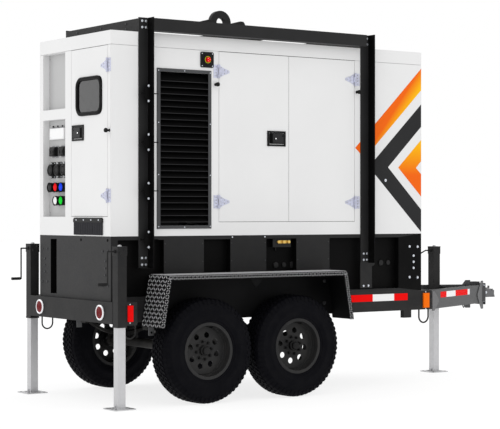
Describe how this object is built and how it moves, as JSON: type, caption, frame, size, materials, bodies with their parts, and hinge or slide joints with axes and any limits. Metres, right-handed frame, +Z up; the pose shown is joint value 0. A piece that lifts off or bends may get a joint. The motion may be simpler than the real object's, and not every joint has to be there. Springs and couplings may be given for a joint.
{
  "type": "towable diesel generator",
  "caption": "Sound-proof diesel generator housing on a fuel-tank base in a lifting cage, on a tandem-axle trailer with screw jacks",
  "frame": {"origin": "on the ground, at the middle of the overall length and width", "axes": "+X forward to the hitch, +Y to the left, +Z up"},
  "size_m": [4.643, 1.686, 3.126],
  "materials": {
    "trailer_frame": "satin black powder coat",
    "rear_bumper": "satin black powder coat",
    "lamps": "moulded lens",
    "hitch_channel": "satin black powder coat",
    "coupler": "grey enamel",
    "coupler_latch": "grey enamel",
    "jack_leg_rear_right": "galvanised",
    "jack_crank_rear_right": "black",
    "jack_leg_rear_left": "galvanised",
    "jack_crank_rear_left": "black",
    "jack_leg_front": "galvanised",
    "jack_crank_front": "black",
    "jack_tubes": "satin black powder coat",
    "wheel_rear_right": "charcoal enamel",
    "tyre_rear_right": "moulded rubber",
    "wheel_rear_left": "charcoal enamel",
    "tyre_rear_left": "moulded rubber",
    "wheel_front_right": "charcoal enamel",
    "tyre_front_right": "moulded rubber",
    "wheel_front_left": "charcoal enamel",
    "tyre_front_left": "moulded rubber",
    "axles": "satin black",
    "leaf_springs": "black spring steel",
    "fenders": "black on tread plate",
    "base_tank": "satin black powder coat",
    "rear_wall": "white powder coat",
    "cable_curtain": "matt rubber strips",
    "duplex_lid_1": "moulded black",
    "duplex_lid_2": "moulded black",
    "twist_lid_1": "moulded black",
    "twist_lid_2": "moulded black",
    "twist_lid_3": "moulded black",
    "power_sockets": "moulded black",
    "side_walls": "white powder coat",
    "louvres": "black powder coat",
    "roof": "white powder coat",
    "front_wall": "white powder coat",
    "door_window": "smoked glazing",
    "latch_rear": "black",
    "rear_door": "white powder coat",
    "hinge_leaves": "bright zinc",
    "stop_switch_box": "moulded black",
    "stop_button": "red mushroom",
    "side_door_right_rear": "white powder coat",
    "side_door_right_front": "white powder coat",
    "side_door_left_rear": "white powder coat",
    "side_door_left_front": "white powder coat",
    "latch_right": "black",
    "latch_left": "black",
    "cage_beams": "satin black powder coat",
    "lifting_eye": "satin black powder coat",
    "cage_posts": "satin black powder coat",
    "alternator": "painted casting",
    "radiator": "finned core",
    "cooling_fan": "moulded blades",
    "engine": "painted casting",
    "muffler": "aluminised steel",
    "rain_flap": "heat-darkened steel",
    "controller": "panel box",
    "battery": "battery case"
  },
  "bodies": {
    "chassis": {"trailer_frame": "trailer_frame", "rear_bumper": "rear_bumper", "lamps": "lamps", "hitch_channel": "hitch_channel", "coupler": "coupler", "jack_tubes": "jack_tubes", "axles": "axles", "leaf_springs": "leaf_springs", "fenders": "fenders", "base_tank": "base_tank", "rear_wall": "rear_wall", "cable_curtain": "cable_curtain", "power_sockets": "power_sockets", "side_walls": "side_walls", "louvres": "louvres", "roof": "roof", "front_wall": "front_wall", "hinge_leaves": "hinge_leaves", "stop_switch_box": "stop_switch_box", "cage_beams": "cage_beams", "lifting_eye": "lifting_eye", "cage_posts": "cage_posts", "alternator": "alternator", "radiator": "radiator", "engine": "engine", "muffler": "muffler", "controller": "controller", "battery": "battery"},
    "wheel_rear_right": {"wheel_rear_right": "wheel_rear_right", "tyre_rear_right": "tyre_rear_right"},
    "wheel_rear_left": {"wheel_rear_left": "wheel_rear_left", "tyre_rear_left": "tyre_rear_left"},
    "wheel_front_right": {"wheel_front_right": "wheel_front_right", "tyre_front_right": "tyre_front_right"},
    "wheel_front_left": {"wheel_front_left": "wheel_front_left", "tyre_front_left": "tyre_front_left"},
    "side_door_right_rear": {"side_door_right_rear": "side_door_right_rear"},
    "side_door_right_front": {"side_door_right_front": "side_door_right_front"},
    "side_door_left_rear": {"side_door_left_rear": "side_door_left_rear"},
    "side_door_left_front": {"side_door_left_front": "side_door_left_front"},
    "rear_door": {"rear_door": "rear_door", "door_window": "door_window"},
    "latch_right": {"latch_right": "latch_right"},
    "latch_left": {"latch_left": "latch_left"},
    "latch_rear": {"latch_rear": "latch_rear"},
    "stop_button": {"stop_button": "stop_button"},
    "jack_crank_rear_right": {"jack_crank_rear_right": "jack_crank_rear_right"},
    "jack_leg_rear_right": {"jack_leg_rear_right": "jack_leg_rear_right"},
    "jack_crank_rear_left": {"jack_crank_rear_left": "jack_crank_rear_left"},
    "jack_leg_rear_left": {"jack_leg_rear_left": "jack_leg_rear_left"},
    "jack_crank_front": {"jack_crank_front": "jack_crank_front"},
    "jack_leg_front": {"jack_leg_front": "jack_leg_front"},
    "coupler_latch": {"coupler_latch": "coupler_latch"},
    "rain_flap": {"rain_flap": "rain_flap"},
    "cooling_fan": {"cooling_fan": "cooling_fan"},
    "duplex_lid_1": {"duplex_lid_1": "duplex_lid_1"},
    "duplex_lid_2": {"duplex_lid_2": "duplex_lid_2"},
    "twist_lid_1": {"twist_lid_1": "twist_lid_1"},
    "twist_lid_2": {"twist_lid_2": "twist_lid_2"},
    "twist_lid_3": {"twist_lid_3": "twist_lid_3"}
  },
  "joints": [
    {"name": "wheel_spin_rear_right", "type": "hinge", "parent": "chassis", "child": "wheel_rear_right", "pos_m": [-1.40645, -0.7005, 0.405], "axis": [0, 1, 0], "continuous": true},
    {"name": "wheel_spin_rear_left", "type": "hinge", "parent": "chassis", "child": "wheel_rear_left", "pos_m": [-1.40645, 0.7005, 0.405], "axis": [0, 1, 0], "continuous": true},
    {"name": "wheel_spin_front_right", "type": "hinge", "parent": "chassis", "child": "wheel_front_right", "pos_m": [-0.55645, -0.7005, 0.405], "axis": [0, 1, 0], "continuous": true},
    {"name": "wheel_spin_front_left", "type": "hinge", "parent": "chassis", "child": "wheel_front_left", "pos_m": [-0.55645, 0.7005, 0.405], "axis": [0, 1, 0], "continuous": true},
    {"name": "side_door_swing_right_rear", "type": "hinge", "parent": "chassis", "child": "side_door_right_rear", "pos_m": [-1.15745, -0.572, 2.0575], "axis": [0, 0, -1], "range_deg": [0, 110]},
    {"name": "side_door_swing_right_front", "type": "hinge", "parent": "chassis", "child": "side_door_right_front", "pos_m": [0.20655, -0.572, 2.0575], "axis": [0, 0, 1], "range_deg": [0, 110]},
    {"name": "side_door_swing_left_rear", "type": "hinge", "parent": "chassis", "child": "side_door_left_rear", "pos_m": [-1.15745, 0.572, 2.0575], "axis": [0, 0, 1], "range_deg": [0, 110]},
    {"name": "side_door_swing_left_front", "type": "hinge", "parent": "chassis", "child": "side_door_left_front", "pos_m": [0.20655, 0.572, 2.0575], "axis": [0, 0, -1], "range_deg": [0, 110]},
    {"name": "rear_door_swing", "type": "hinge", "parent": "chassis", "child": "rear_door", "pos_m": [-2.14245, -0.516, 2.0575], "axis": [0, 0, 1], "range_deg": [0, 110]},
    {"name": "latch_right_pull", "type": "hinge", "parent": "side_door_right_rear", "child": "latch_right", "pos_m": [-0.59945, -0.567, 2.098], "axis": [-1, 0, 0], "range_deg": [0, 35], "stiffness_Nm_per_rad": 0.5, "springref_deg": -11.46},
    {"name": "latch_left_pull", "type": "hinge", "parent": "side_door_left_rear", "child": "latch_left", "pos_m": [-0.59945, 0.567, 2.098], "axis": [1, 0, 0], "range_deg": [0, 35], "stiffness_Nm_per_rad": 0.5, "springref_deg": -11.46},
    {"name": "latch_rear_pull", "type": "hinge", "parent": "rear_door", "child": "latch_rear", "pos_m": [-2.13745, -0.064, 2.121], "axis": [0, 1, 0], "range_deg": [0, 35], "stiffness_Nm_per_rad": 0.5, "springref_deg": -11.46},
    {"name": "stop_button_push", "type": "slide", "parent": "chassis", "child": "stop_button", "axis": [0, 1, 0], "range_m": [0, 0.006], "stiffness_N_per_m": 1500, "springref_m": -0.002},
    {"name": "crank_turn_rear_right", "type": "hinge", "parent": "chassis", "child": "jack_crank_rear_right", "pos_m": [-2.19155, -0.692, 1.174], "axis": [1, 0, 0], "range_deg": [0, 5472]},
    {"name": "leg_slide_rear_right", "type": "slide", "parent": "chassis", "child": "jack_leg_rear_right", "axis": [0, 0, 1], "range_m": [0, 0.381]},
    {"name": "crank_turn_rear_left", "type": "hinge", "parent": "chassis", "child": "jack_crank_rear_left", "pos_m": [-2.19155, 0.692, 1.174], "axis": [1, 0, 0], "range_deg": [0, 5472]},
    {"name": "leg_slide_rear_left", "type": "slide", "parent": "chassis", "child": "jack_leg_rear_left", "axis": [0, 0, 1], "range_m": [0, 0.381]},
    {"name": "crank_turn_front", "type": "hinge", "parent": "chassis", "child": "jack_crank_front", "pos_m": [1.64445, 0.135, 1.116], "axis": [1, 0, 0], "range_deg": [0, 5472]},
    {"name": "leg_slide_front", "type": "slide", "parent": "chassis", "child": "jack_leg_front", "axis": [0, 0, 1], "range_m": [0, 0.381]},
    {"name": "coupler_latch_lift", "type": "hinge", "parent": "chassis", "child": "coupler_latch", "pos_m": [2.18355, 0, 0.763], "axis": [0, -1, 0], "range_deg": [0, 75]},
    {"name": "rain_flap_lift", "type": "hinge", "parent": "chassis", "child": "rain_flap", "pos_m": [-0.39045, 0.2, 3.025], "axis": [0, 1, 0], "range_deg": [0, 70]},
    {"name": "fan_spin", "type": "hinge", "parent": "chassis", "child": "cooling_fan", "pos_m": [0.39655, 0, 1.883], "axis": [1, 0, 0], "continuous": true},
    {"name": "duplex_lid_1_lift", "type": "hinge", "parent": "chassis", "child": "duplex_lid_1", "pos_m": [-2.11295, 0.251, 1.975], "axis": [0, 1, 0], "range_deg": [0, 100], "stiffness_Nm_per_rad": 0.05, "springref_deg": -17.19},
    {"name": "duplex_lid_2_lift", "type": "hinge", "parent": "chassis", "child": "duplex_lid_2", "pos_m": [-2.11295, 0.401, 1.975], "axis": [0, 1, 0], "range_deg": [0, 100], "stiffness_Nm_per_rad": 0.05, "springref_deg": -17.19},
    {"name": "twist_lid_1_lift", "type": "hinge", "parent": "chassis", "child": "twist_lid_1", "pos_m": [-2.11295, 0.22, 1.846], "axis": [0, 1, 0], "range_deg": [0, 100], "stiffness_Nm_per_rad": 0.05, "springref_deg": -17.19},
    {"name": "twist_lid_2_lift", "type": "hinge", "parent": "chassis", "child": "twist_lid_2", "pos_m": [-2.11295, 0.326, 1.846], "axis": [0, 1, 0], "range_deg": [0, 100], "stiffness_Nm_per_rad": 0.05, "springref_deg": -17.19},
    {"name": "twist_lid_3_lift", "type": "hinge", "parent": "chassis", "child": "twist_lid_3", "pos_m": [-2.11295, 0.432, 1.846], "axis": [0, 1, 0], "range_deg": [0, 100], "stiffness_Nm_per_rad": 0.05, "springref_deg": -17.19}
  ],
  "couplings": [
    {"joint": "leg_slide_rear_right", "follows": "crank_turn_rear_right", "m_per_rad": 0.0039789},
    {"joint": "leg_slide_rear_left", "follows": "crank_turn_rear_left", "m_per_rad": 0.0039789},
    {"joint": "leg_slide_front", "follows": "crank_turn_front", "m_per_rad": 0.0039789}
  ]
}
